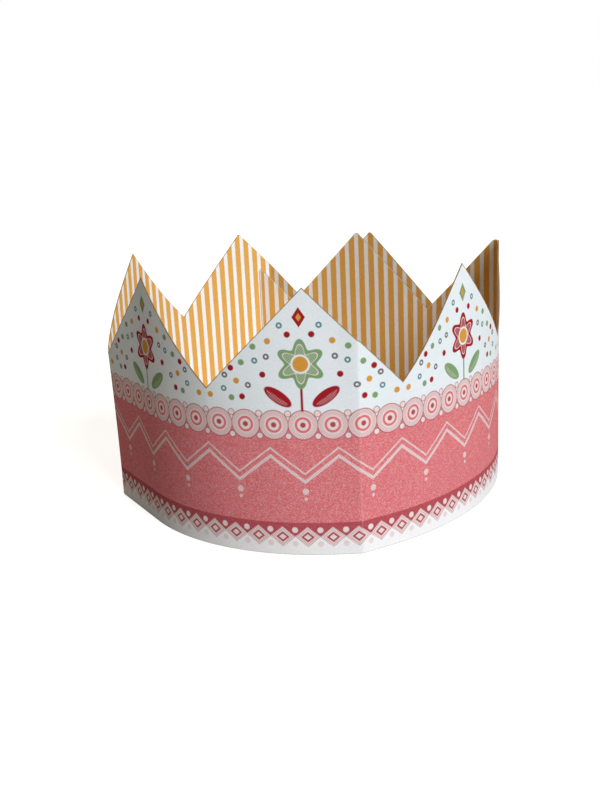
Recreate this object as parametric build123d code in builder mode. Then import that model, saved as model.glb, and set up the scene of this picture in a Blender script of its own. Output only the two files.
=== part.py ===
from build123d import *
import os
from math import atan2, ceil, degrees, floor, radians, sin, tan

# Card strip, in millimetres
card_thickness = 0.4
layer_gap = 0.15

# Points and valleys, with distances along the strip from the middle front point
tooth_pitch = 83.0
point_height = 110.0
valley_height = 70.2
front_fold_at = 0.267 * tooth_pitch
outer_end_at = -5 * tooth_pitch

# Panels between the folds, walked anticlockwise from above. Each stretch of a panel has its
# length in tooth pitches and its bend in degrees. The two layers part a little behind the right fold
front_heading = 23.7
front_to_right_shape = [(0.795, 29.2), (0.619, 24.0), (0.319, 5.4)]
right_fold = 49.9
inner_right_to_end_shape = [(0.698, 10.7), (0.569, 8.5), (0.453, 11.2)]
outer_right_to_back_shape = [(0.710, 10.3), (0.594, 4.1), (0.398, 4.8)]
back_fold = 65.4
back_to_left_shape = [(0.626, 7.2), (1.091, 44.9)]
left_to_front_shape = [(0.518, 0.0), (1.257, 66.7)]

half_pitch = tooth_pitch / 2
full_turn = 360.0
layer_step = card_thickness + layer_gap
cut_reach = half_pitch / 8


def sized(shape):
    """A panel's stretches with their lengths in millimetres."""
    return [(pitches * tooth_pitch, bend) for pitches, bend in shape]


def along(point, heading, length, bend):
    """Point and heading after a stretch of card with an even bend."""
    half_bend = radians(bend) / 2
    chord = length * sin(half_bend) / half_bend if bend else length
    return point + Vector(chord, 0).rotate(Axis.Z, heading + bend / 2), heading + bend


def inset(point, heading, depth, turn):
    """Point moved inwards by a depth, and along the mitre of a fold that turns by an angle."""
    return point + Vector(depth * tan(radians(turn) / 2), depth).rotate(Axis.Z, heading)


def panel_end(point, heading, panel):
    """Point and heading at the end of a panel."""
    for length, bend in panel:
        point, heading = along(point, heading, length, bend)
    return point, heading


def run_of(point, heading, panels, folds):
    """Stretches of a run: start, heading, length, bend, and the fold at each end."""
    stretches = []
    for number, panel in enumerate(panels):
        for place, (length, bend) in enumerate(panel):
            before = folds[number] if place == 0 else 0
            after = folds[number + 1] if place == len(panel) - 1 else 0
            stretches.append((point, heading, length, bend, before, after))
            point, heading = along(point, heading, length, bend)
        heading += folds[number + 1]
    return stretches


def face_line(stretches, depth):
    """Line of one face of the card in plan, at a depth from its outer face."""
    for point, heading, length, bend, before, after in stretches:
        middle, middle_heading = along(point, heading, length / 2, bend / 2)
        end, end_heading = along(point, heading, length, bend)
        first = inset(point, heading, depth, before)
        last = inset(end, end_heading, depth, -after)
        if bend:
            ThreePointArc(first, inset(middle, middle_heading, depth, 0), last)
        else:
            Line(first, last)


def end_line(stretch, place):
    """Line across the card's thickness at the start (0) or the end (1) of a stretch."""
    point, heading, length, bend, before, after = stretch
    end, end_heading = along(point, heading, length * place, bend * place)
    Line(end, inset(end, end_heading, card_thickness, after * -place if place else before))


def top_height(distance):
    """Height of the zigzag edge at a distance along the strip."""
    from_point = abs((distance + half_pitch) % tooth_pitch - half_pitch)
    return point_height - (point_height - valley_height) * from_point / half_pitch


def knots_of(stretches, distance):
    """Plan frame and height at each point, valley, fold and change of bend of a run."""
    knots = []
    for point, heading, length, bend, before, after in stretches:
        first_mark = ceil((distance + card_thickness) / half_pitch)
        last_mark = floor((distance + length - card_thickness) / half_pitch)
        marks = [mark * half_pitch - distance for mark in range(first_mark, last_mark + 1)]
        pairs = []
        for stop in [0.0, *marks, length]:
            spot, spot_heading = along(point, heading, stop, bend * stop / length)
            if stop == 0.0:
                spot_heading -= before / 2
            if stop == length:
                spot_heading += after / 2
            pairs.append((spot, spot_heading, top_height(distance + stop)))
        knots += list(zip(pairs, pairs[1:]))
        distance += length
    return knots


front_to_right = sized(front_to_right_shape)
inner_right_to_end = sized(inner_right_to_end_shape)
outer_right_to_back = sized(outer_right_to_back_shape)
back_to_left = sized(back_to_left_shape)
left_to_front = sized(left_to_front_shape)

# The inner run starts at the front fold, and the outer run passes one layer outside its right fold
front_point = Vector(0, 0)
right_point, right_heading = panel_end(front_point, front_heading, front_to_right)
outer_right = inset(right_point, right_heading, -layer_step, -right_fold)
back_point, back_heading = panel_end(outer_right, right_heading + right_fold, outer_right_to_back)
left_point, left_heading = panel_end(back_point, back_heading + back_fold, back_to_left)

# The last panel is sized and turned to close the loop at the front fold
panel_span, panel_turn = panel_end(Vector(0, 0), 0, left_to_front)
closing_span = front_point - left_point
closing_scale = closing_span.length / panel_span.length
closing_panel = [(length * closing_scale, bend) for length, bend in left_to_front]
closing_heading = degrees(atan2(closing_span.Y, closing_span.X) - atan2(panel_span.Y, panel_span.X))
left_fold = (closing_heading - left_heading) % full_turn
front_fold = (front_heading - closing_heading - panel_turn) % full_turn

outer_lengths = [length for length, bend in outer_right_to_back + back_to_left + closing_panel]
outer_tail = front_fold_at - outer_end_at - sum(outer_lengths)
tail_length, tail_bend = front_to_right[-1]
outer_tail_bend = tail_bend * outer_tail / tail_length
outer_end, outer_end_heading = along(outer_right, right_heading, -outer_tail, -outer_tail_bend)

outer_run = run_of(
    outer_end,
    outer_end_heading,
    [[(outer_tail, outer_tail_bend)], outer_right_to_back, back_to_left, closing_panel],
    [0, right_fold, back_fold, left_fold, front_fold],
)
inner_run = run_of(
    front_point,
    front_heading,
    [front_to_right, inner_right_to_end],
    [front_fold, right_fold, 0],
)

# Folded strip of card with a zigzag top edge and overlapping ends
with BuildPart() as crown_band:
    for run, start_distance in ((outer_run, outer_end_at), (inner_run, front_fold_at)):
        with BuildPart():
            with BuildSketch():
                with BuildLine():
                    face_line(run, 0)
                    face_line(run, card_thickness)
                    end_line(run[0], 0)
                    end_line(run[-1], 1)
                make_face()
            extrude(amount=point_height)
            for ends in knots_of(run, start_distance):
                for spot, spot_heading, height in ends:
                    ahead = Vector(1, 0).rotate(Axis.Z, spot_heading)
                    across = Vector(0, 1).rotate(Axis.Z, spot_heading)
                    with BuildSketch(Plane(origin=spot, x_dir=across, z_dir=ahead)):
                        with Locations((0, height)):
                            Rectangle(
                                2 * cut_reach,
                                point_height + cut_reach - height,
                                align=(Align.CENTER, Align.MIN),
                            )
                loft(ruled=True, mode=Mode.SUBTRACT)
    middle = crown_band.part.bounding_box().center()
    add(crown_band.part.moved(Location((-middle.X, -middle.Y, 0))), mode=Mode.REPLACE)
crown_band.part.label = "crown_band"

os.makedirs("parts", exist_ok=True)
export_step(crown_band.part, "parts/crown_band.step")
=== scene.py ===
import math
from collections import namedtuple

import bpy
import numpy as np
from mathutils import Matrix, Vector


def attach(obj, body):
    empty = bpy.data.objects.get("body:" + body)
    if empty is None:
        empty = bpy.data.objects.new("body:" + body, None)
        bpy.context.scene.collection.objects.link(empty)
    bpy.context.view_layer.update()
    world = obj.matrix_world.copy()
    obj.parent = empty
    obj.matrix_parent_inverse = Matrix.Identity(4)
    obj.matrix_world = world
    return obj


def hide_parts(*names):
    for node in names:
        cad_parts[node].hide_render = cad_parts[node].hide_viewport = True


bl_info = {
    "name": "Paper crown",
    "version": (1, 0, 0),
    "blender": (4, 5, 0),
    "location": "View3D > Sidebar > Paper crown",
    "description": "Folds a printed card strip into a crown and sets it on a plain stage",
    "category": "Object",
}

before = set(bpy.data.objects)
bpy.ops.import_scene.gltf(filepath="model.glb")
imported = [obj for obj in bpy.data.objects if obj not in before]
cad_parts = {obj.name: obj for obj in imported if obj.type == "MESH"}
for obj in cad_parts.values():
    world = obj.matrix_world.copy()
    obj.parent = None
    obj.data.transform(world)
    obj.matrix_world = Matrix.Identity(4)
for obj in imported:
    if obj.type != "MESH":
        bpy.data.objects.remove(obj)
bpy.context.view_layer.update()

MM = 0.001
CARD_NODE = "crown_band"

# Shape of the folded strip. Panels run anticlockwise from above, each stretch with its length in
# tooth pitches and its bend in degrees. Distances along the strip count from the middle front point
FRONT_HEADING = 23.7
FRONT_TO_RIGHT = ((0.795, 29.2), (0.619, 24.0), (0.319, 5.4))
RIGHT_FOLD = 49.9
INNER_RIGHT_TO_END = ((0.698, 10.7), (0.569, 8.5), (0.453, 11.2))
OUTER_RIGHT_TO_BACK = ((0.710, 10.3), (0.594, 4.1), (0.398, 4.8))
BACK_FOLD = 65.4
BACK_TO_LEFT = ((0.626, 7.2), (1.091, 44.9))
LEFT_TO_FRONT = ((0.518, 0.0), (1.257, 66.7))
FRONT_FOLD_AT = 0.267
OUTER_END_AT = -5
LAYER_GAP = 0.15 * MM

# Small round crease at each fold: its reach to each side, and the cuts across it as shares of that
CREASE_REACH = 0.45 * MM
CREASE_CUTS = (-1, -0.5, 0, 0.5, 1)

# Hand cutting. Points are even and valleys are odd, in half pitches from the middle front point:
# how far each strays along the strip in tooth pitches, and upwards and outwards in millimetres
HAND_CUTS = {
    -10: (0.0, 0.0, -0.1),
    -9: (0.0, 0.0, 0.6),
    -8: (-0.005, 0.0, 0.8),
    -7: (0.0, 0.0, 0.4),
    -6: (0.007, -0.5, 0.2),
    -5: (0.002, 0.0, 1.0),
    -4: (-0.002, 0.0, -1.1),
    -3: (-0.004, 0.0, 1.3),
    -2: (0.002, 0.0, -0.8),
    -1: (0.013, -1.1, 1.3),
    0: (0.020, 0.0, -0.9),
    1: (-0.002, -0.7, 2.9),
    2: (0.003, 0.6, -0.9),
    3: (0.010, 1.0, 0.8),
    4: (0.012, 0.5, 0.2),
    5: (0.008, 1.1, 0.6),
    6: (0.005, 0.0, -0.1),
    7: (-0.020, 1.0, 0.4),
    8: (0.0, 0.5, 0.3),
}
TRUE_CUT = (0.0, 0.0, 0.0)

# Radii of the points and valleys that are blunted, in millimetres, and of the inner end's corner
BLUNT_CORNERS = {-9: 1.5, -8: 1.2, -6: 1.2, -5: 0.6, 4: 3.0, 6: 1.2}
BLUNT_END = 0.7 * MM
BLUNT_STEPS = 4

# Handling: the inner end presses outwards, and the front fold stands a little proud
END_PRESS = 1.5 * MM
PRESS_REACH = 24 * MM
FRONT_RIDGE = 0.6 * MM
RIDGE_REACH = 7 * MM

# Flat grid that the strip is cut from, a little longer and higher than the strip
STRIP_PITCHES = 8.75
EDGE_SPARE = 2 * MM
COLUMNS_PER_PITCH = 40
CARD_ROWS = 22

# Steps by which the folded path is measured, and the turn over which an edge stays sharp
PATH_STEPS = 4000
SMOOTH_ANGLE = math.radians(24)

# Card surface: its gloss, the height and strength of its grain, and its tones and worn folds
CARD_ROUGHNESS = 0.8
CARD_GLOSS = 0.06
GRAIN_HEIGHT = 0.03 * MM
GRAIN_STRENGTH = 0.5
DARKEST_TONE = 0.925
CLOUD_TONE = 0.045
FINE_TONE = 0.065
FOLD_WEAR = 0.12

# Print on the flat strip, in millimetres: heights from the bottom edge, the soft edge of each ink,
# and the slanted grid of fine dots that shades the pale inks
TRIM_LOW = 7.8
STRIPE_TOP = 14.0
TRIM_HIGH = 55.3
FLOWER_UP = 80.0
SOFT_EDGE = 0.22
TINT_STEP = 0.8
TINT_RADIUS = 0.3 * TINT_STEP
SLANT = math.sqrt(0.5)
ZIGZAGS_PER_POINT = 3
MEDALLIONS_PER_POINT = 7
LOZENGES_PER_POINT = 8

# Strewn dots, with their places as distances from a point's middle and heights
DOT_RADIUS = 1.25
RING_SHARE = 0.4
STREWN_DOTS = {
    "gold": ((12.8, 89.2), (26.5, 73.0), (38.6, 66.6)),
    "teal": ((7.8, 95.4), (18.4, 81.4), (32.2, 69.6)),
    "red": ((4.8, 91.8), (15.4, 75.8), (24.4, 66.6), (28.6, 78.2)),
    "green": ((18.8, 87.0), (24.0, 80.6), (29.0, 66.0)),
    "slate": ((13.6, 83.0), (21.6, 71.4), (31.4, 75.2)),
}
RING_INKS = ("teal", "slate")

# Stripes of the inner side, in tooth pitches: their step, the middle of one white stripe, and the
# place from which they come a little early. The white takes a share of each step
STRIPE_STEP = 0.069156
STRIPE_START = 2.7997
STRIPE_WHITE = 0.41
EARLY_FROM = 3.45
EARLY_OVER = 0.10
EARLY_BY = 0.0246

# Widths of lines along the cut edges, in millimetres: painted shade below the outer and inner top edges,
# with a painted highlight on the inner layer's edge, the white at the inner end, and a faint darker line
# at the foot
EDGE_SOFT = 0.2
OUTER_LINE = 0.5
INNER_LINE = 0.4
END_LINE = 0.75
FOOT_LINE = 0.35

# Stage: a floor that a glow whitens for the camera alone, and wide suns
FLOOR_SIZE = 40.0
FLOOR_DROP = 0.2 * MM
FLOOR_GLOW = 0.80
SUN_WIDTH = math.radians(24)

# Camera, solved from the photograph's outline
CAMERA_AT = (-14.36 * MM, -501.95 * MM, 179.53 * MM)
CAMERA_PITCH = 15.281
CAMERA_ROLL = -2.910
CAMERA_LENS = 48.22
CAMERA_SHIFT = (0.02188, -0.00975)
CAMERA_NEAR = 10 * MM


class CrownCardSizes(bpy.types.PropertyGroup):
    """Sizes of the card strip"""

    tooth_pitch: bpy.props.FloatProperty(
        name="Point spacing", description="Distance between two points along the strip",
        default=83.0 * MM, unit="LENGTH", precision=4)
    point_height: bpy.props.FloatProperty(
        name="Point height", description="Height of the points above the bottom edge",
        default=110.0 * MM, unit="LENGTH", precision=4)
    valley_height: bpy.props.FloatProperty(
        name="Valley height", description="Height of the valleys between the points",
        default=70.2 * MM, unit="LENGTH", precision=4)
    card_thickness: bpy.props.FloatProperty(
        name="Card thickness", description="Thickness of the card",
        default=0.4 * MM, unit="LENGTH", precision=4)


def colour_property(label, about, default):
    """A colour that the user can change."""
    return bpy.props.FloatVectorProperty(
        name=label, description=about, default=default, size=3, min=0, max=1, subtype="COLOR")


class CrownPrintColours(bpy.types.PropertyGroup):
    """Inks and papers of the card"""

    paper: colour_property("Paper", "Very pale ink of the points", (0.80, 0.84, 0.87))
    margin: colour_property("Margin", "Bare card below the print", (0.89, 0.875, 0.885))
    pink: colour_property("Pink", "Broad band round the crown", (0.715, 0.168, 0.186))
    deep_pink: colour_property("Deep pink", "Stripe above the lower trim", (0.43, 0.075, 0.09))
    trim: colour_property("Trim", "Pale ink of the trims", (0.82, 0.68, 0.67))
    red: colour_property("Red", "Red ink of the flowers", (0.36, 0.012, 0.02))
    green: colour_property("Green", "Green ink of the flowers", (0.21, 0.35, 0.16))
    gold: colour_property("Gold", "Gold ink of the flower centres", (0.68, 0.31, 0.05))
    slate: colour_property("Slate", "Grey ink of some dots", (0.15, 0.13, 0.14))
    teal: colour_property("Teal", "Blue-green ink of some dots", (0.10, 0.25, 0.27))
    ochre: colour_property("Ochre", "Stripes of the inner side", (0.75, 0.382, 0.068))
    lining: colour_property("Lining", "White of the inner side", (0.88, 0.885, 0.895))
    # Brown of the card's core, dark enough to serve also as painted shade along the rim and the cut
    # edges
    core_and_edge_shade: colour_property("Cut edge", "Bare core of the card", (0.31, 0.20, 0.09))


class CrownStageLight(bpy.types.PropertyGroup):
    """Light of the stage"""

    key_strength: bpy.props.FloatProperty(
        name="Key", description="Strength of the wide soft light from the front right",
        default=3.5, min=0)
    key_colour: colour_property("Key colour", "Colour of the key light", (0.915, 0.96, 1.0))
    key_side: bpy.props.FloatProperty(
        name="Key side", description="How far the key stands to the right of the front",
        default=math.radians(32), subtype="ANGLE")
    key_rise: bpy.props.FloatProperty(
        name="Key rise", description="How high the key stands above the floor",
        default=math.radians(35), subtype="ANGLE")
    back_strength: bpy.props.FloatProperty(
        name="Back light", description="Strength of the weaker soft light from behind",
        default=1.6, min=0)
    back_side: bpy.props.FloatProperty(
        name="Back side", description="How far the back light stands to the right of the front",
        default=math.radians(190), subtype="ANGLE")
    back_rise: bpy.props.FloatProperty(
        name="Back rise", description="How high the back light stands above the floor",
        default=math.radians(40), subtype="ANGLE")
    fill_level: bpy.props.FloatProperty(
        name="Fill", description="Level of the even light from all round",
        default=0.085, min=0)
    fill_colour: colour_property("Fill colour", "Colour of the even light", (1.0, 0.90, 0.78))
    floor_colour: colour_property("Floor", "Colour of the floor", (0.40, 0.37, 0.315))


class Field:
    """A number that changes over the card, worked out by Math nodes."""

    def __init__(self, tree, socket):
        self.tree = tree
        self.socket = socket

    def math(self, operation, *others):
        """The number put through a Math node, with other numbers or fields."""
        node = self.tree.nodes.new("ShaderNodeMath")
        node.operation = operation
        for socket, value in zip(node.inputs, (self,) + others):
            if isinstance(value, Field):
                self.tree.links.new(value.socket, socket)
            else:
                socket.default_value = value
        return Field(self.tree, node.outputs[0])

    def __add__(self, other):
        return self.math("ADD", other)

    def __sub__(self, other):
        return self.math("SUBTRACT", other)

    def __mul__(self, other):
        return self.math("MULTIPLY", other)

    __radd__ = __add__

    def __rsub__(self, other):
        return self * -1.0 + other

    def size(self):
        """The number without its sign."""
        return self.math("ABSOLUTE")

    def least(self, other):
        """The lesser of two fields."""
        return self.math("MINIMUM", other)

    def most(self, other):
        """The greater of two fields."""
        return self.math("MAXIMUM", other)

    def repeated(self, step):
        """The signed distance from the nearest multiple of a step."""
        return self.math("WRAP", step / 2, -step / 2)

    def step_down(self, edge, soft=SOFT_EDGE):
        """1 below the edge and 0 above it, with a soft change between."""
        node = self.tree.nodes.new("ShaderNodeMapRange")
        node.interpolation_type = "SMOOTHSTEP"
        self.tree.links.new(self.socket, node.inputs["Value"])
        node.inputs["From Min"].default_value = edge - soft
        node.inputs["From Max"].default_value = edge + soft
        node.inputs["To Min"].default_value = 1.0
        node.inputs["To Max"].default_value = 0.0
        return Field(self.tree, node.outputs["Result"])


def far(across, up):
    """Distance from a point, from its two parts."""
    return (across * across + up * up).math("SQRT")


def layered(tree, under, mask, ink):
    """Colour socket with an ink laid over what is under it. Both may be plain colours or sockets."""
    node = tree.nodes.new("ShaderNodeMix")
    node.data_type = "RGBA"

    # The node's colour sockets share their names with its other ones, so they go by their places
    factor, under_socket, over_socket = node.inputs[0], node.inputs[6], node.inputs[7]
    tree.links.new(mask.socket, factor)
    for socket, value in ((under_socket, under), (over_socket, ink)):
        if isinstance(value, bpy.types.NodeSocket):
            tree.links.new(value, socket)
        else:
            socket.default_value = (*value, 1.0)
    return node.outputs[2]


def toned(tree, colour, tone):
    """Colour socket times a tone socket."""
    node = tree.nodes.new("ShaderNodeVectorMath")
    node.operation = "SCALE"
    tree.links.new(colour, node.inputs[0])
    tree.links.new(tone, node.inputs["Scale"])
    return node.outputs[0]


def uv_place(tree, name):
    """Fields of the two parts of a UV map, in millimetres."""
    uv = tree.nodes.new("ShaderNodeUVMap")
    uv.uv_map = name
    parts = tree.nodes.new("ShaderNodeSeparateXYZ")
    tree.links.new(uv.outputs[0], parts.inputs[0])
    return Field(tree, parts.outputs[0]) * (1 / MM), Field(tree, parts.outputs[1]) * (1 / MM)


def card_place(tree):
    """Fields of the place on the flat strip: along it, and up from its bottom edge."""
    return uv_place(tree, "strip")


def from_edges(tree):
    """Fields of the height below the zigzag edge and of the distance to the inner end."""
    return uv_place(tree, "edge")


def place_vector(tree, along, up, scale):
    """Vector socket of a place on the strip, scaled for a texture."""
    joined = tree.nodes.new("ShaderNodeCombineXYZ")
    for socket, value in zip(joined.inputs, (along * scale, up * scale)):
        tree.links.new(value.socket, socket)
    return joined.outputs[0]


def speckle(tree, along, up, grain, threshold, soft, detail=2.0):
    """Mask of fine specks, with the grain's size in millimetres."""
    noise = tree.nodes.new("ShaderNodeTexNoise")
    noise.noise_dimensions = "2D"
    noise.inputs["Scale"].default_value = 1.0
    noise.inputs["Detail"].default_value = detail
    noise.inputs["Roughness"].default_value = 0.6
    tree.links.new(place_vector(tree, along, up, 1.0 / grain), noise.inputs["Vector"])
    return 1.0 - Field(tree, noise.outputs["Fac"]).step_down(threshold, soft)


def flecks(tree, along, up, spacing, share):
    """Mask of separate round flecks, on a share of spots that lie a spacing apart in millimetres."""
    fleck_radius, fleck_soft, choice_soft = 0.45, 0.12, 0.02
    spots = tree.nodes.new("ShaderNodeTexVoronoi")
    spots.voronoi_dimensions = "2D"
    spots.inputs["Scale"].default_value = 1.0
    tree.links.new(place_vector(tree, along, up, 1.0 / spacing), spots.inputs["Vector"])
    chance = tree.nodes.new("ShaderNodeSeparateColor")
    tree.links.new(spots.outputs["Color"], chance.inputs[0])
    chosen = Field(tree, chance.outputs[0]).step_down(share, choice_soft)
    return Field(tree, spots.outputs["Distance"]).step_down(fleck_radius, fleck_soft) * chosen


def halftone(along, up):
    """Mask of a slanted grid of fine printed dots."""
    one, other = (along + up) * SLANT, (along - up) * SLANT
    return far(one.repeated(TINT_STEP), other.repeated(TINT_STEP)).step_down(TINT_RADIUS, soft=0.12)


def grain_group(folds):
    """Node group of the card's surface: its tone, the height of its grain and the wear along folds."""
    fibre_stretch, fibre_share, wear_half_width = 0.55, 0.6, 0.35
    group = bpy.data.node_groups.new("card_grain", "ShaderNodeTree")
    for name in ("Tone", "Height", "Fold wear"):
        group.interface.new_socket(name=name, in_out="OUTPUT", socket_type="NodeSocketFloat")
    along, up = card_place(group)
    outputs = group.nodes.new("NodeGroupOutput")
    fibre = speckle(group, along * fibre_stretch, up, grain=0.45, threshold=0.5, soft=0.35)
    cloud = speckle(group, along, up, grain=22.0, threshold=0.5, soft=0.35, detail=3.0)
    fine = speckle(group, along, up, grain=0.9, threshold=0.5, soft=0.3)
    tone = DARKEST_TONE + cloud * CLOUD_TONE + fine * FINE_TONE
    height = fibre * fibre_share + fine * (1 - fibre_share)
    group.links.new(tone.socket, outputs.inputs["Tone"])
    group.links.new(height.socket, outputs.inputs["Height"])
    wear = None
    for fold in folds:
        line = (along - fold / MM).size().step_down(wear_half_width, soft=0.3)
        wear = line if wear is None else wear.most(line)
    ragged = speckle(group, along, up, grain=0.8, threshold=0.42, soft=0.14)
    group.links.new((wear * ragged).socket, outputs.inputs["Fold wear"])
    return group


def new_material(name, grain_tree):
    """A material of card, with the grain in its surface but no colour yet."""
    material = bpy.data.materials.new(name)
    material.use_nodes = True
    tree = material.node_tree
    shader = tree.nodes["Principled BSDF"]
    grain = tree.nodes.new("ShaderNodeGroup")
    grain.node_tree = grain_tree
    bump = tree.nodes.new("ShaderNodeBump")
    bump.inputs["Distance"].default_value = GRAIN_HEIGHT
    bump.inputs["Strength"].default_value = GRAIN_STRENGTH
    tree.links.new(grain.outputs["Height"], bump.inputs["Height"])
    tree.links.new(bump.outputs[0], shader.inputs["Normal"])
    shader.inputs["Specular IOR Level"].default_value = CARD_GLOSS
    shader.inputs["Roughness"].default_value = CARD_ROUGHNESS
    return material, tree, shader, grain


def ink_colours():
    """The inks and papers by name."""
    inks = bpy.context.scene.crown_inks
    return {name: tuple(getattr(inks, name)) for name in inks.__annotations__}


class PrintedSheet:
    """The outer side of the flat strip, with its inks and the colour printed on it so far."""

    def __init__(self, tree):
        self.tree = tree
        self.pitch = bpy.context.scene.crown_card.tooth_pitch / MM
        self.inks = ink_colours()
        self.along, self.up = card_place(tree)
        self.across = self.along.repeated(self.pitch)
        self.tint = halftone(self.along, self.up)
        self.colour = self.inks["paper"]

    def lay(self, mask, ink):
        """Prints an ink, or a colour socket, over what is there."""
        colour = self.inks[ink] if isinstance(ink, str) else ink
        self.colour = layered(self.tree, self.colour, mask, colour)

    def stipple(self, mask, strength, ink="deep_pink"):
        """Prints the grid of fine dots over what is there."""
        self.lay(mask * self.tint * strength, ink)

    def outline(self, distance, reach, ink, width):
        """Prints a thin line at a distance from a shape's middle."""
        self.lay((distance - reach).size().step_down(width), ink)


def print_ground(sheet):
    """Pink band over pale paper, a deep stripe at its foot, a bare margin, and flecks in both inks."""
    pale = flecks(sheet.tree, sheet.along, sheet.up, spacing=0.44, share=0.5)
    dark = flecks(sheet.tree, sheet.up, sheet.along, spacing=0.5, share=0.4)
    pale_in_pink, dark_in_pink, pale_in_deep, foot_strength = 0.32, 0.22, 0.34, 0.3
    pink = layered(sheet.tree, sheet.inks["pink"], pale * pale_in_pink, sheet.inks["trim"])
    pink = layered(sheet.tree, pink, dark * dark_in_pink, sheet.inks["deep_pink"])
    deep = layered(sheet.tree, sheet.inks["deep_pink"], pale * pale_in_deep, sheet.inks["pink"])
    in_margin = sheet.up.step_down(TRIM_LOW)
    above_margin = 1.0 - in_margin
    sheet.lay(in_margin, "margin")
    # A faint darker line along the foot of the strip
    sheet.lay(sheet.up.step_down(FOOT_LINE, EDGE_SOFT) * foot_strength, "core_and_edge_shade")
    sheet.lay(sheet.up.step_down(TRIM_HIGH) * above_margin, pink)
    sheet.lay(sheet.up.step_down(STRIPE_TOP) * above_margin, deep)


def print_zigzag(sheet):
    """A stippled zigzag with a thin line above it, and a bead and a drop under each low corner."""
    low_corner, steepness = 31.5, 0.78
    broad_half, thin_half, line_gap = 0.8, 0.42, 3.4
    bead_up, bead_radius = 27.4, 1.3
    drop_up, drop_radius = 24.2, 0.7
    across = sheet.along.repeated(sheet.pitch / ZIGZAGS_PER_POINT)
    crest = across.size() * steepness + low_corner
    broad = (sheet.up - crest).size().step_down(broad_half)
    thin = (sheet.up - crest - line_gap).size().step_down(thin_half)
    bead = far(across, sheet.up - bead_up).step_down(bead_radius)
    drop = far(across, sheet.up - drop_up).step_down(drop_radius)
    marks = broad.most(thin).most(bead).most(drop)
    sheet.lay(marks, "trim")
    sheet.stipple(marks, strength=0.6)


def print_upper_trim(sheet):
    """A row of round medallions with stippled rims and a pair of beads at each joint."""
    disc_radius, rim_inside, ring_outside, ring_inside, eye_radius = 6.0, 3.9, 3.3, 2.3, 1.1
    bead_radius, bead_off = 1.3, 4.6
    cell = sheet.pitch / MEDALLIONS_PER_POINT
    height = sheet.up - TRIM_HIGH
    reach = far(sheet.along.repeated(cell), height)
    disc = reach.step_down(disc_radius)
    sheet.lay(disc, "trim")
    sheet.stipple(disc * (1.0 - reach.step_down(rim_inside)), strength=0.78)
    sheet.lay(reach.step_down(ring_outside), "pink")
    sheet.lay(reach.step_down(ring_inside), "trim")
    sheet.lay(reach.step_down(eye_radius), "deep_pink")
    joint = (sheet.along + cell / 2).repeated(cell)
    bead = far(joint, height.size() - bead_off)
    sheet.lay(bead.step_down(bead_radius), "trim")
    sheet.outline(bead, bead_radius, "deep_pink", width=0.14)
    sheet.outline(reach, disc_radius, "deep_pink", width=0.16)


def print_lower_trim(sheet):
    """A row of stippled lozenges with beads above and below each joint."""
    lozenge_reach, rim_inside, ring_outside, ring_inside = 4.4, 2.7, 2.3, 1.3
    lozenge_squeeze, bead_radius, bead_off = 0.82, 1.25, 3.0
    cell = sheet.pitch / LOZENGES_PER_POINT
    height = sheet.up - TRIM_LOW
    reach = sheet.along.repeated(cell).size() * lozenge_squeeze + height.size()
    lozenge = reach.step_down(lozenge_reach)
    sheet.lay(lozenge, "trim")
    sheet.stipple(lozenge * (1.0 - reach.step_down(rim_inside)), strength=0.72)
    sheet.lay(reach.step_down(ring_outside), "deep_pink")
    sheet.lay(reach.step_down(ring_inside), "trim")
    joint = (sheet.along + cell / 2).repeated(cell)
    sheet.lay(far(joint, height.size() - bead_off).step_down(bead_radius), "trim")


def print_dots(sheet):
    """Small dots strewn over the white points, alike on both sides of each point."""
    for ink, places in STREWN_DOTS.items():
        nearest = None
        for across, up in places:
            reach = far(sheet.across.size() - across, sheet.up - up)
            nearest = reach if nearest is None else nearest.least(reach)
        sheet.lay(nearest.step_down(DOT_RADIUS), ink)
        if ink in RING_INKS:
            sheet.lay(nearest.step_down(DOT_RADIUS * RING_SHARE), "paper")


def print_bloom(sheet, petal_ink):
    """Six petals with a line and stipple inside them, round a gold centre."""
    petals, petal_middle, petal_swing, petal_inset = 6.0, 8.2, 1.8, 2.2
    eye_rim, eye_radius = 3.9, 3.1
    up = sheet.up - FLOWER_UP
    reach = far(sheet.across, up)
    turn = sheet.across.math("ARCTAN2", up)
    petal = reach - (turn * petals).math("COSINE") * petal_swing - petal_middle
    sheet.lay(petal.step_down(0.0), petal_ink)
    sheet.stipple((petal + petal_inset).step_down(0.0), strength=0.55, ink="trim")
    sheet.outline(petal, -petal_inset, "trim", width=0.25)
    sheet.lay(reach.step_down(eye_rim), "paper")
    sheet.lay(reach.step_down(eye_radius), "gold")


def print_leaves(sheet, leaf_ink):
    """A slanted leaf to each side of the stem, with stipple on its lower half."""
    leaf_off, leaf_up, leaf_run, leaf_rise = 9.6, 66.8, 0.82, 0.57
    half_length, half_breadth, leaf_soft, stipple_reach = 6.4, 2.6, 0.06, 0.8
    side, up = sheet.across.size() - leaf_off, sheet.up - leaf_up
    length = side * leaf_run + up * leaf_rise
    breadth = up * leaf_run - side * leaf_rise
    leaf = far(length * (1 / half_length), breadth * (1 / half_breadth))
    sheet.lay(leaf.step_down(1.0, leaf_soft), leaf_ink)
    lower_half = leaf.step_down(stipple_reach, leaf_soft) * breadth.step_down(0.0, soft=0.15)
    sheet.stipple(lower_half, strength=0.6, ink="trim")


def print_bud(sheet, leaf_ink):
    """A small lozenge with a gold middle near the tip of the point."""
    bud_up, bud_steepness, bud_reach, bud_eye = 98.5, 1.5, 4.0, 1.7
    bud = sheet.across.size() * bud_steepness + (sheet.up - bud_up).size()
    sheet.lay(bud.step_down(bud_reach), leaf_ink)
    sheet.lay(bud.step_down(bud_eye), "gold")


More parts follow.
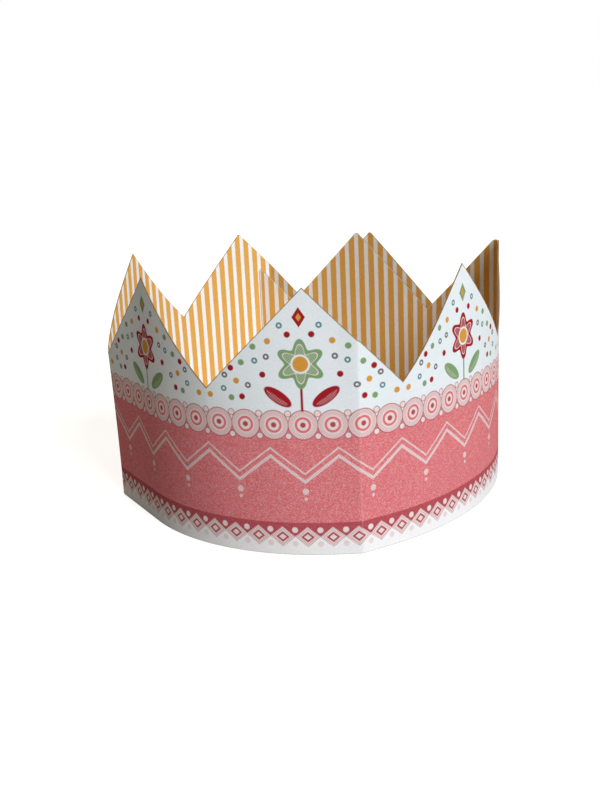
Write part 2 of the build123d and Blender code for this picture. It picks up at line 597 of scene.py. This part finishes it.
def print_flower(sheet):
    """A flower on a stem with two leaves and a bud, in turn green and red along the points."""
    stem_half_width = 0.5
    stem_foot = TRIM_HIGH + 5.5
    two_points = sheet.along.repeated(2 * sheet.pitch)
    even = two_points.size().step_down(sheet.pitch / 2, soft=0.01)
    petal_ink = layered(sheet.tree, sheet.inks["red"], even, sheet.inks["green"])
    leaf_ink = layered(sheet.tree, sheet.inks["green"], even, sheet.inks["red"])
    stem = sheet.across.size().step_down(stem_half_width) * sheet.up.step_down(FLOWER_UP)
    sheet.lay(stem * (1.0 - sheet.up.step_down(stem_foot)), leaf_ink)
    print_bloom(sheet, petal_ink)
    print_leaves(sheet, leaf_ink)
    print_bud(sheet, leaf_ink)


def printed_outside(grain_tree):
    """Printed card, with worn folds and a dark line of painted shade along its zigzag edge."""
    edge_shade_strength = 0.95
    material, tree, shader, grain = new_material("printed_outside", grain_tree)
    sheet = PrintedSheet(tree)
    print_ground(sheet)
    print_zigzag(sheet)
    print_upper_trim(sheet)
    print_lower_trim(sheet)
    print_dots(sheet)
    print_flower(sheet)
    sheet.lay(Field(tree, grain.outputs["Fold wear"]) * FOLD_WEAR, "trim")
    # Dark line of painted shade just below the zigzag edge
    below, _ = from_edges(tree)
    sheet.lay(below.step_down(OUTER_LINE, EDGE_SOFT) * edge_shade_strength, "core_and_edge_shade")
    tree.links.new(toned(tree, sheet.colour, grain.outputs["Tone"]), shader.inputs["Base Color"])
    return material


def striped_inside(grain_tree):
    """Card with upright ochre stripes on white, their edges a little ragged."""
    stripe_soft, wobble_reach = 0.18, 0.12
    worn_strength, painted_edge_strength = 0.15, 0.5
    inks = ink_colours()
    pitch = bpy.context.scene.crown_card.tooth_pitch / MM
    material, tree, shader, grain = new_material("striped_inside", grain_tree)
    along, up = card_place(tree)
    below, from_end = from_edges(tree)
    step = STRIPE_STEP * pitch

    # The stripes come a little early near the strip's inner end, which itself is white
    early = 1.0 - along.step_down(EARLY_FROM * pitch, EARLY_OVER * pitch)
    place = along + early * (EARLY_BY * pitch)
    off_white = (place - STRIPE_START * pitch).repeated(step).size()
    wobble = speckle(tree, along, up, grain=1.4, threshold=0.5, soft=0.4) * wobble_reach
    wobble = wobble - wobble_reach / 2
    stripes = 1.0 - (off_white + wobble).step_down(step * STRIPE_WHITE / 2, stripe_soft)
    stripes = stripes * (1.0 - from_end.step_down(END_LINE, EDGE_SOFT))
    worn_ink = speckle(tree, along, up, grain=0.55, threshold=0.62, soft=0.08)
    ochre = layered(tree, inks["ochre"], worn_ink * worn_strength, inks["lining"])
    colour = layered(tree, inks["lining"], stripes, ochre)

    # Along the top edge, a dark line of painted shade on the outer layer, and a pale line of painted
    # highlight on the inner one, where its edge catches the light
    painted_edge_line = below.step_down(INNER_LINE, EDGE_SOFT)
    outer_layer = along.step_down(0.0, soft=1.0)
    painted_edge_shade, pale = painted_edge_line * outer_layer, painted_edge_line * (1.0 - outer_layer)
    colour = layered(tree, colour, painted_edge_shade * painted_edge_strength, inks["core_and_edge_shade"])
    # Painted highlight along the inner layer's top edge
    colour = layered(tree, colour, pale * painted_edge_strength, inks["lining"])
    tree.links.new(toned(tree, colour, grain.outputs["Tone"]), shader.inputs["Base Color"])
    return material


def core_and_edge_shade(grain_tree):
    """Bare core of the card, in a brown dark enough to stand as painted shade along the rim, and paler
    where a fold has worn it.
    """
    inks = ink_colours()
    material, tree, shader, grain = new_material("core_and_edge_shade", grain_tree)
    worn = Field(tree, grain.outputs["Fold wear"])
    colour = layered(tree, inks["core_and_edge_shade"], worn, inks["lining"])
    tree.links.new(toned(tree, colour, grain.outputs["Tone"]), shader.inputs["Base Color"])
    return material


# A stretch of the folded path. Its span is its length on the flat strip, and its length the real
# one, which is shorter round a crease
Stretch = namedtuple("Stretch", "distance span point heading length bend")


def along_stretch(point, heading, length, bend):
    """Point and heading after a stretch of card with an even bend."""
    half_bend = math.radians(bend) / 2
    chord = length * math.sin(half_bend) / half_bend if bend else length
    direction = math.radians(heading + bend / 2)
    ahead = np.array([math.cos(direction), math.sin(direction)])
    return point + chord * ahead, heading + bend


def panel_end(point, heading, panel):
    """Point and heading at the end of a panel."""
    for length, bend in panel:
        point, heading = along_stretch(point, heading, length, bend)
    return point, heading


def panel_stretches(distance, point, heading, panel, fold_before, fold_after):
    """Stretches of a panel, with a small round crease in place of the fold at its end."""
    stretches = []
    for place, (length, bend) in enumerate(panel):
        first = CREASE_REACH if place == 0 and fold_before else 0.0
        last = CREASE_REACH if place == len(panel) - 1 and fold_after else 0.0
        start, start_heading = along_stretch(point, heading, first, bend * first / length)
        kept = length - first - last
        kept_bend = bend * kept / length
        stretches.append(Stretch(distance + first, kept, start, start_heading, kept, kept_bend))
        if last:
            fold_point, fold_heading = along_stretch(start, start_heading, kept, kept_bend)
            half_fold = math.radians(fold_after) / 2
            round_length = 2 * CREASE_REACH * half_fold / math.tan(half_fold)
            crease_at = distance + length - last
            stretches.append(
                Stretch(crease_at, 2 * last, fold_point, fold_heading, round_length, fold_after))
        point, heading = along_stretch(point, heading, length, bend)
        distance += length
    return stretches


def in_metres(shape, pitch):
    """A panel's stretches with their lengths in metres."""
    return [(pitches * pitch, bend) for pitches, bend in shape]


def folded_path(sizes):
    """Stretches of the strip's outer face in order, and the distances of its folds."""
    pitch = sizes.tooth_pitch
    first, inner_second = in_metres(FRONT_TO_RIGHT, pitch), in_metres(INNER_RIGHT_TO_END, pitch)
    outer_second, third = in_metres(OUTER_RIGHT_TO_BACK, pitch), in_metres(BACK_TO_LEFT, pitch)
    last = in_metres(LEFT_TO_FRONT, pitch)

    # The outer layer passes one layer outside the right fold of the inner one
    front = np.zeros(2)
    right, right_heading = panel_end(front, FRONT_HEADING, first)
    step = sizes.card_thickness + LAYER_GAP
    facing = math.radians(right_heading)
    ahead = np.array([math.cos(facing), math.sin(facing)])
    outwards = np.array([ahead[1], -ahead[0]])
    outer_right = right + step * outwards + step * math.tan(math.radians(RIGHT_FOLD) / 2) * ahead
    second_heading = right_heading + RIGHT_FOLD
    back, back_heading = panel_end(outer_right, second_heading, outer_second)
    left, left_heading = panel_end(back, back_heading + BACK_FOLD, third)

    # The last panel is sized and turned to close the loop at the front fold
    span, turn = panel_end(np.zeros(2), 0, last)
    closing = front - left
    scale = np.hypot(*closing) / np.hypot(*span)
    last = [(length * scale, bend) for length, bend in last]
    closing_heading = math.degrees(math.atan2(closing[1], closing[0]) - math.atan2(span[1], span[0]))
    left_fold = (closing_heading - left_heading) % 360
    front_fold = (FRONT_HEADING - closing_heading - turn) % 360

    # The outer end lies on the front panel, just before the right fold
    outer_length = sum(length for length, bend in outer_second + third + last)
    tail = (FRONT_FOLD_AT - OUTER_END_AT) * pitch - outer_length
    tail_bend = first[-1][1] * tail / first[-1][0]
    start, start_heading = along_stretch(outer_right, right_heading, -tail, -tail_bend)
    panels = (
        (start, start_heading, [(tail, tail_bend)], 0, RIGHT_FOLD),
        (outer_right, second_heading, outer_second, RIGHT_FOLD, BACK_FOLD),
        (back, back_heading + BACK_FOLD, third, BACK_FOLD, left_fold),
        (left, closing_heading, last, left_fold, front_fold),
        (front, FRONT_HEADING, first, front_fold, RIGHT_FOLD),
        (right, second_heading, inner_second, RIGHT_FOLD, 0),
    )
    path, folds = [], []
    distance = OUTER_END_AT * pitch
    for point, heading, panel, fold_before, fold_after in panels:
        path += panel_stretches(distance, point, heading, panel, fold_before, fold_after)
        distance += sum(length for length, bend in panel)
        if fold_after:
            folds.append(distance)
    return path, folds


def place_on_path(path, distances):
    """Plan points and headings (radians) at distances along the strip."""
    # A distance at a stretch's start belongs to that stretch, also if rounding puts it just before
    rounding = 1e-7
    starts = np.array([stretch.distance for stretch in path])
    index = np.searchsorted(starts, distances + rounding, side="right") - 1
    index = np.clip(index, 0, len(path) - 1)
    points = np.zeros((len(distances), 2))
    headings = np.zeros(len(distances))
    for number, stretch in enumerate(path):
        on = index == number
        share = (distances[on] - stretch.distance) / stretch.span
        half = np.radians(stretch.bend) * share / 2
        chord = stretch.length * share * np.sinc(half / np.pi)
        direction = np.radians(stretch.heading) + half
        points[on] = stretch.point + chord[:, None] * np.c_[np.cos(direction), np.sin(direction)]
        headings[on] = np.radians(stretch.heading) + 2 * half
    return points, headings


def rounded_corner(before, corner, after, radius):
    """Points of a small arc that blunts a corner."""
    to_before, to_after = (before - corner).normalized(), (after - corner).normalized()
    half_angle = to_before.angle(to_after) / 2
    reach = radius / math.tan(half_angle)
    centre = corner + (to_before + to_after).normalized() * radius / math.sin(half_angle)
    first, last = corner + to_before * reach - centre, corner + to_after * reach - centre
    shares = [step / BLUNT_STEPS for step in range(BLUNT_STEPS + 1)]
    return [centre + first.slerp(last, share).normalized() * radius for share in shares]


def edge_corners(sizes, start, end):
    """Corners of the zigzag edge on the flat strip, as it was cut by hand."""
    half = sizes.tooth_pitch / 2
    marks = range(round(start / half), math.ceil(end / half) + 1)
    sharp = []
    for mark in marks:
        drift, rise, _ = HAND_CUTS.get(mark, TRUE_CUT)
        height = sizes.valley_height if mark % 2 else sizes.point_height
        sharp.append(Vector(((mark / 2 + drift) * sizes.tooth_pitch, height + rise * MM)))
    share = (end - sharp[-2].x) / (sharp[-1].x - sharp[-2].x)
    sharp[-1] = sharp[-2].lerp(sharp[-1], share)
    corners = [sharp[0]]
    for mark, before, corner, after in zip(marks[1:], sharp, sharp[1:], sharp[2:]):
        radius = BLUNT_CORNERS.get(mark, 0) * MM
        corners += rounded_corner(before, corner, after, radius) if radius else [corner]
    foot = Vector((end, 0))
    return corners + rounded_corner(sharp[-2], sharp[-1], foot, BLUNT_END)


def lean_at(distances, half):
    """How far the top edge leans outwards at distances along the strip."""
    marks = range(min(HAND_CUTS) - 1, max(HAND_CUTS) + 3)
    leans = np.array([HAND_CUTS.get(mark, TRUE_CUT)[2] * MM for mark in marks])
    place = distances / half - marks[0]
    low = np.clip(np.floor(place).astype(int), 0, len(leans) - 2)
    share = (1 - np.cos(np.pi * np.clip(place - low, 0, 1))) / 2
    return leans[low] * (1 - share) + leans[low + 1] * share


def edit_flat(start, length, height):
    """A flat grid that lies with its length along X, left in edit mode."""
    columns = int(COLUMNS_PER_PITCH * STRIP_PITCHES)
    bpy.ops.object.select_all(action="DESELECT")
    bpy.ops.mesh.primitive_grid_add(x_subdivisions=columns, y_subdivisions=CARD_ROWS, size=1.0)
    card = bpy.context.object
    bpy.ops.object.mode_set(mode="EDIT")
    bpy.ops.mesh.select_all(action="SELECT")
    bpy.ops.transform.resize(value=(length, height, 1))
    bpy.ops.transform.translate(value=(start + length / 2, height / 2, 0))
    return card


def select_faces(card, wanted):
    """Selects the faces whose centres pass a test."""
    bpy.ops.mesh.select_all(action="DESELECT")
    bpy.ops.object.mode_set(mode="OBJECT")
    for face in card.data.polygons:
        face.select = wanted(face.center)
    bpy.ops.object.mode_set(mode="EDIT")


def cut_upright(distances):
    """Cuts the whole flat strip across at each distance."""
    for distance in distances:
        bpy.ops.mesh.select_all(action="SELECT")
        bpy.ops.mesh.bisect(plane_co=(distance, 0, 0), plane_no=(1, 0, 0))


def cut_zigzag(card, corners, end):
    """Cuts the flat strip along its zigzag edge and takes the spare card away."""
    cut_upright([corner.x for corner in corners[1:]])
    for low, high in zip(corners, corners[1:]):
        if high.x > low.x:
            select_faces(card, lambda c, low=low, high=high: low.x < c.x < high.x)
            slope = Vector((low.y - high.y, high.x - low.x, 0)).normalized()
            bpy.ops.mesh.bisect(plane_co=(*low, 0), plane_no=slope)
    across = [corner.x for corner in corners]
    tops = [corner.y for corner in corners]
    select_faces(card, lambda c: c.x > end or c.y > np.interp(c.x, across, tops))
    bpy.ops.mesh.delete(type="FACE")


def cut_strip(sizes, corners, folds, end):
    """The flat strip, cut to its outline and across its folds, in object mode."""
    start = OUTER_END_AT * sizes.tooth_pitch
    card = edit_flat(start, STRIP_PITCHES * sizes.tooth_pitch, sizes.point_height + EDGE_SPARE)
    card.name = card.data.name = "crown_card"
    cut_upright([fold + CREASE_REACH * share for fold in folds for share in CREASE_CUTS])
    cut_zigzag(card, corners, end)
    bpy.ops.object.mode_set(mode="OBJECT")
    return card


def vertex_places(mesh):
    """Places of a mesh's vertices, one row each."""
    places = np.empty(len(mesh.vertices) * 3)
    mesh.vertices.foreach_get("co", places)
    return places.reshape(-1, 3)


def flat_uv(mesh, name, places):
    """UV map of a flat place for each vertex."""
    corners = np.empty(len(mesh.loops), int)
    mesh.loops.foreach_get("vertex_index", corners)
    uv = mesh.uv_layers.new(name=name)
    uv.data.foreach_set("uv", places[corners].ravel())


def lay_out_print(mesh, flat, tops, end):
    """UV maps of the place on the flat strip and of the distances from its cut edges."""
    while mesh.uv_layers:
        mesh.uv_layers.remove(mesh.uv_layers[0])
    flat_uv(mesh, "strip", flat[:, :2])
    flat_uv(mesh, "edge", np.c_[tops - flat[:, 1], end - flat[:, 0]])


def handled_lean(flat, tops, end, pitch):
    """How far the card is pushed outwards at each place of the flat strip."""
    lean = lean_at(flat[:, 0], pitch / 2) * (flat[:, 1] / tops) ** 2
    near_end = np.clip(1 - (end - flat[:, 0]) / PRESS_REACH, 0, 1)
    lean += END_PRESS * near_end ** 2
    from_fold = np.abs(flat[:, 0] - FRONT_FOLD_AT * pitch)
    lean += FRONT_RIDGE * np.clip(1 - from_fold / RIDGE_REACH, 0, 1)
    return lean


def wrapped(path, flat, lean, start, end):
    """The flat places wrapped round the folded path, with the path's box centred on the frame's."""
    line, _ = place_on_path(path, np.linspace(start, end, PATH_STEPS))
    middle = (line.min(0) + line.max(0)) / 2
    points, headings = place_on_path(path, flat[:, 0])
    outward = np.c_[np.sin(headings), -np.cos(headings)]
    folded = np.empty_like(flat)
    folded[:, :2] = points - middle + outward * lean[:, None]
    folded[:, 2] = flat[:, 1]
    return folded


def thicken(card, thickness):
    """Gives the folded strip its thickness, with the inner side and the rim in their own materials."""
    wall = card.modifiers.new("card", "SOLIDIFY")
    wall.thickness = thickness
    wall.offset = -1.0
    wall.use_even_offset = True
    wall.material_offset = 1
    wall.material_offset_rim = 2
    bpy.ops.object.modifier_apply(modifier=wall.name)
    bpy.ops.object.shade_smooth_by_angle(angle=SMOOTH_ANGLE)


class OBJECT_OT_crown_card(bpy.types.Operator):
    """Cut the zigzag strip, print it and fold it into the crown"""

    bl_idname = "object.crown_card"
    bl_label = "Card strip"

    def execute(self, context):
        sizes = context.scene.crown_card
        path, folds = folded_path(sizes)
        start, end = path[0].distance, path[-1].distance + path[-1].span
        corners = edge_corners(sizes, start, end)
        card = cut_strip(sizes, corners, folds, end)

        mesh = card.data
        flat = vertex_places(mesh)
        tops = np.interp(flat[:, 0], [corner.x for corner in corners], [corner.y for corner in corners])
        lay_out_print(mesh, flat, tops, end)
        lean = handled_lean(flat, tops, end, sizes.tooth_pitch)
        mesh.vertices.foreach_set("co", wrapped(path, flat, lean, start, end).ravel())
        mesh.update()

        grain = grain_group(folds)
        for material in (printed_outside(grain), striped_inside(grain), core_and_edge_shade(grain)):
            mesh.materials.append(material)
        thicken(card, sizes.card_thickness)
        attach(card, "root")
        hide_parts(CARD_NODE)
        return {"FINISHED"}


def stage_floor(colour):
    """A wide plain floor, white to the camera apart from the crown's shadow."""
    bpy.ops.object.select_all(action="DESELECT")
    bpy.ops.mesh.primitive_plane_add(size=FLOOR_SIZE, location=(0, 0, -FLOOR_DROP))
    floor = bpy.context.object
    floor.name = "floor"
    material = bpy.data.materials.new("pale_floor")
    material.use_nodes = True
    tree = material.node_tree
    shader = tree.nodes["Principled BSDF"]
    shader.inputs["Base Color"].default_value = (*colour, 1)
    shader.inputs["Roughness"].default_value = 0.9
    shader.inputs["Specular IOR Level"].default_value = 0.0
    shader.inputs["Emission Color"].default_value = (1, 1, 1, 1)
    rays = tree.nodes.new("ShaderNodeLightPath")
    glow = Field(tree, rays.outputs["Is Camera Ray"]) * FLOOR_GLOW
    tree.links.new(glow.socket, shader.inputs["Emission Strength"])
    floor.data.materials.append(material)


def stage_sun(name, strength, colour, side, rise):
    """A wide soft light, the same all over the stage."""
    data = bpy.data.lights.new(name, "SUN")
    data.energy = strength
    data.color = colour
    data.angle = SUN_WIDTH
    sun = bpy.data.objects.new(name, data)
    flat_reach = math.cos(rise)
    towards = Vector((math.sin(side) * flat_reach, -math.cos(side) * flat_reach, math.sin(rise)))
    sun.rotation_euler = towards.to_track_quat("Z", "Y").to_euler()
    bpy.context.scene.collection.objects.link(sun)


def stage_world(light):
    """An even warm light, with a white backdrop where the camera or a reflection sees it."""
    world = bpy.data.worlds.new("studio")
    bpy.context.scene.world = world
    world.use_nodes = True
    tree = world.node_tree
    background = tree.nodes["Background"]
    rays = tree.nodes.new("ShaderNodeLightPath")
    seen = Field(tree, rays.outputs["Is Camera Ray"]).most(Field(tree, rays.outputs["Is Glossy Ray"]))
    seen = seen.most(Field(tree, rays.outputs["Is Transmission Ray"]))
    colour = layered(tree, tuple(light.fill_colour), seen, (1.0, 1.0, 1.0))
    strength = seen * (1.0 - light.fill_level) + light.fill_level
    tree.links.new(colour, background.inputs["Color"])
    tree.links.new(strength.socket, background.inputs["Strength"])


def stage_camera():
    """The camera at the photograph's place, turned and shifted as the photograph was framed."""
    data = bpy.data.cameras.new("camera")
    data.lens = CAMERA_LENS
    data.shift_x, data.shift_y = CAMERA_SHIFT
    data.clip_start = CAMERA_NEAR
    camera = bpy.data.objects.new("camera", data)
    pitch, roll = math.radians(CAMERA_PITCH), math.radians(CAMERA_ROLL)
    sideways = Vector((1, 0, 0))
    forward = Vector((0, math.cos(pitch), -math.sin(pitch)))
    level_up = Vector((0, math.sin(pitch), math.cos(pitch)))
    right = sideways * math.cos(roll) + level_up * math.sin(roll)
    up = level_up * math.cos(roll) - sideways * math.sin(roll)
    turn = Matrix((right, up, -forward)).transposed().to_4x4()
    camera.matrix_world = Matrix.Translation(CAMERA_AT) @ turn
    bpy.context.scene.collection.objects.link(camera)
    bpy.context.scene.camera = camera


class OBJECT_OT_crown_stage(bpy.types.Operator):
    """Set up the floor, the studio light and the camera"""

    bl_idname = "object.crown_stage"
    bl_label = "Stage"

    def execute(self, context):
        light = context.scene.crown_light
        stage_floor(light.floor_colour)
        stage_sun("key", light.key_strength, light.key_colour, light.key_side, light.key_rise)
        stage_sun("back_light", light.back_strength, light.fill_colour, light.back_side, light.back_rise)
        stage_world(light)
        stage_camera()
        context.scene.view_settings.view_transform = "Standard"
        return {"FINISHED"}


class VIEW3D_PT_crown(bpy.types.Panel):
    """Sizes, inks and steps of the paper crown"""

    bl_label = "Paper crown"
    bl_idname = "VIEW3D_PT_crown"
    bl_space_type = "VIEW_3D"
    bl_region_type = "UI"
    bl_category = "Paper crown"

    def draw(self, context):
        layout = self.layout
        scene = context.scene
        for group in (scene.crown_card, scene.crown_inks, scene.crown_light):
            box = layout.box()
            for key in group.__annotations__:
                box.prop(group, key)
        layout.operator(OBJECT_OT_crown_card.bl_idname)
        layout.operator(OBJECT_OT_crown_stage.bl_idname)


CLASSES = (
    CrownCardSizes,
    CrownPrintColours,
    CrownStageLight,
    OBJECT_OT_crown_card,
    OBJECT_OT_crown_stage,
    VIEW3D_PT_crown,
)


def register():
    """Adds the classes and the settings that each scene holds."""
    for item in CLASSES:
        bpy.utils.register_class(item)
    bpy.types.Scene.crown_card = bpy.props.PointerProperty(type=CrownCardSizes)
    bpy.types.Scene.crown_inks = bpy.props.PointerProperty(type=CrownPrintColours)
    bpy.types.Scene.crown_light = bpy.props.PointerProperty(type=CrownStageLight)


def unregister():
    """Takes the settings and the classes away again."""
    for name in ("crown_card", "crown_inks", "crown_light"):
        delattr(bpy.types.Scene, name)
    for item in reversed(CLASSES):
        bpy.utils.unregister_class(item)


def main():
    """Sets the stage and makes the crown."""
    register()
    bpy.ops.object.crown_stage()
    bpy.ops.object.crown_card()


if __name__ == "__main__":
    main()
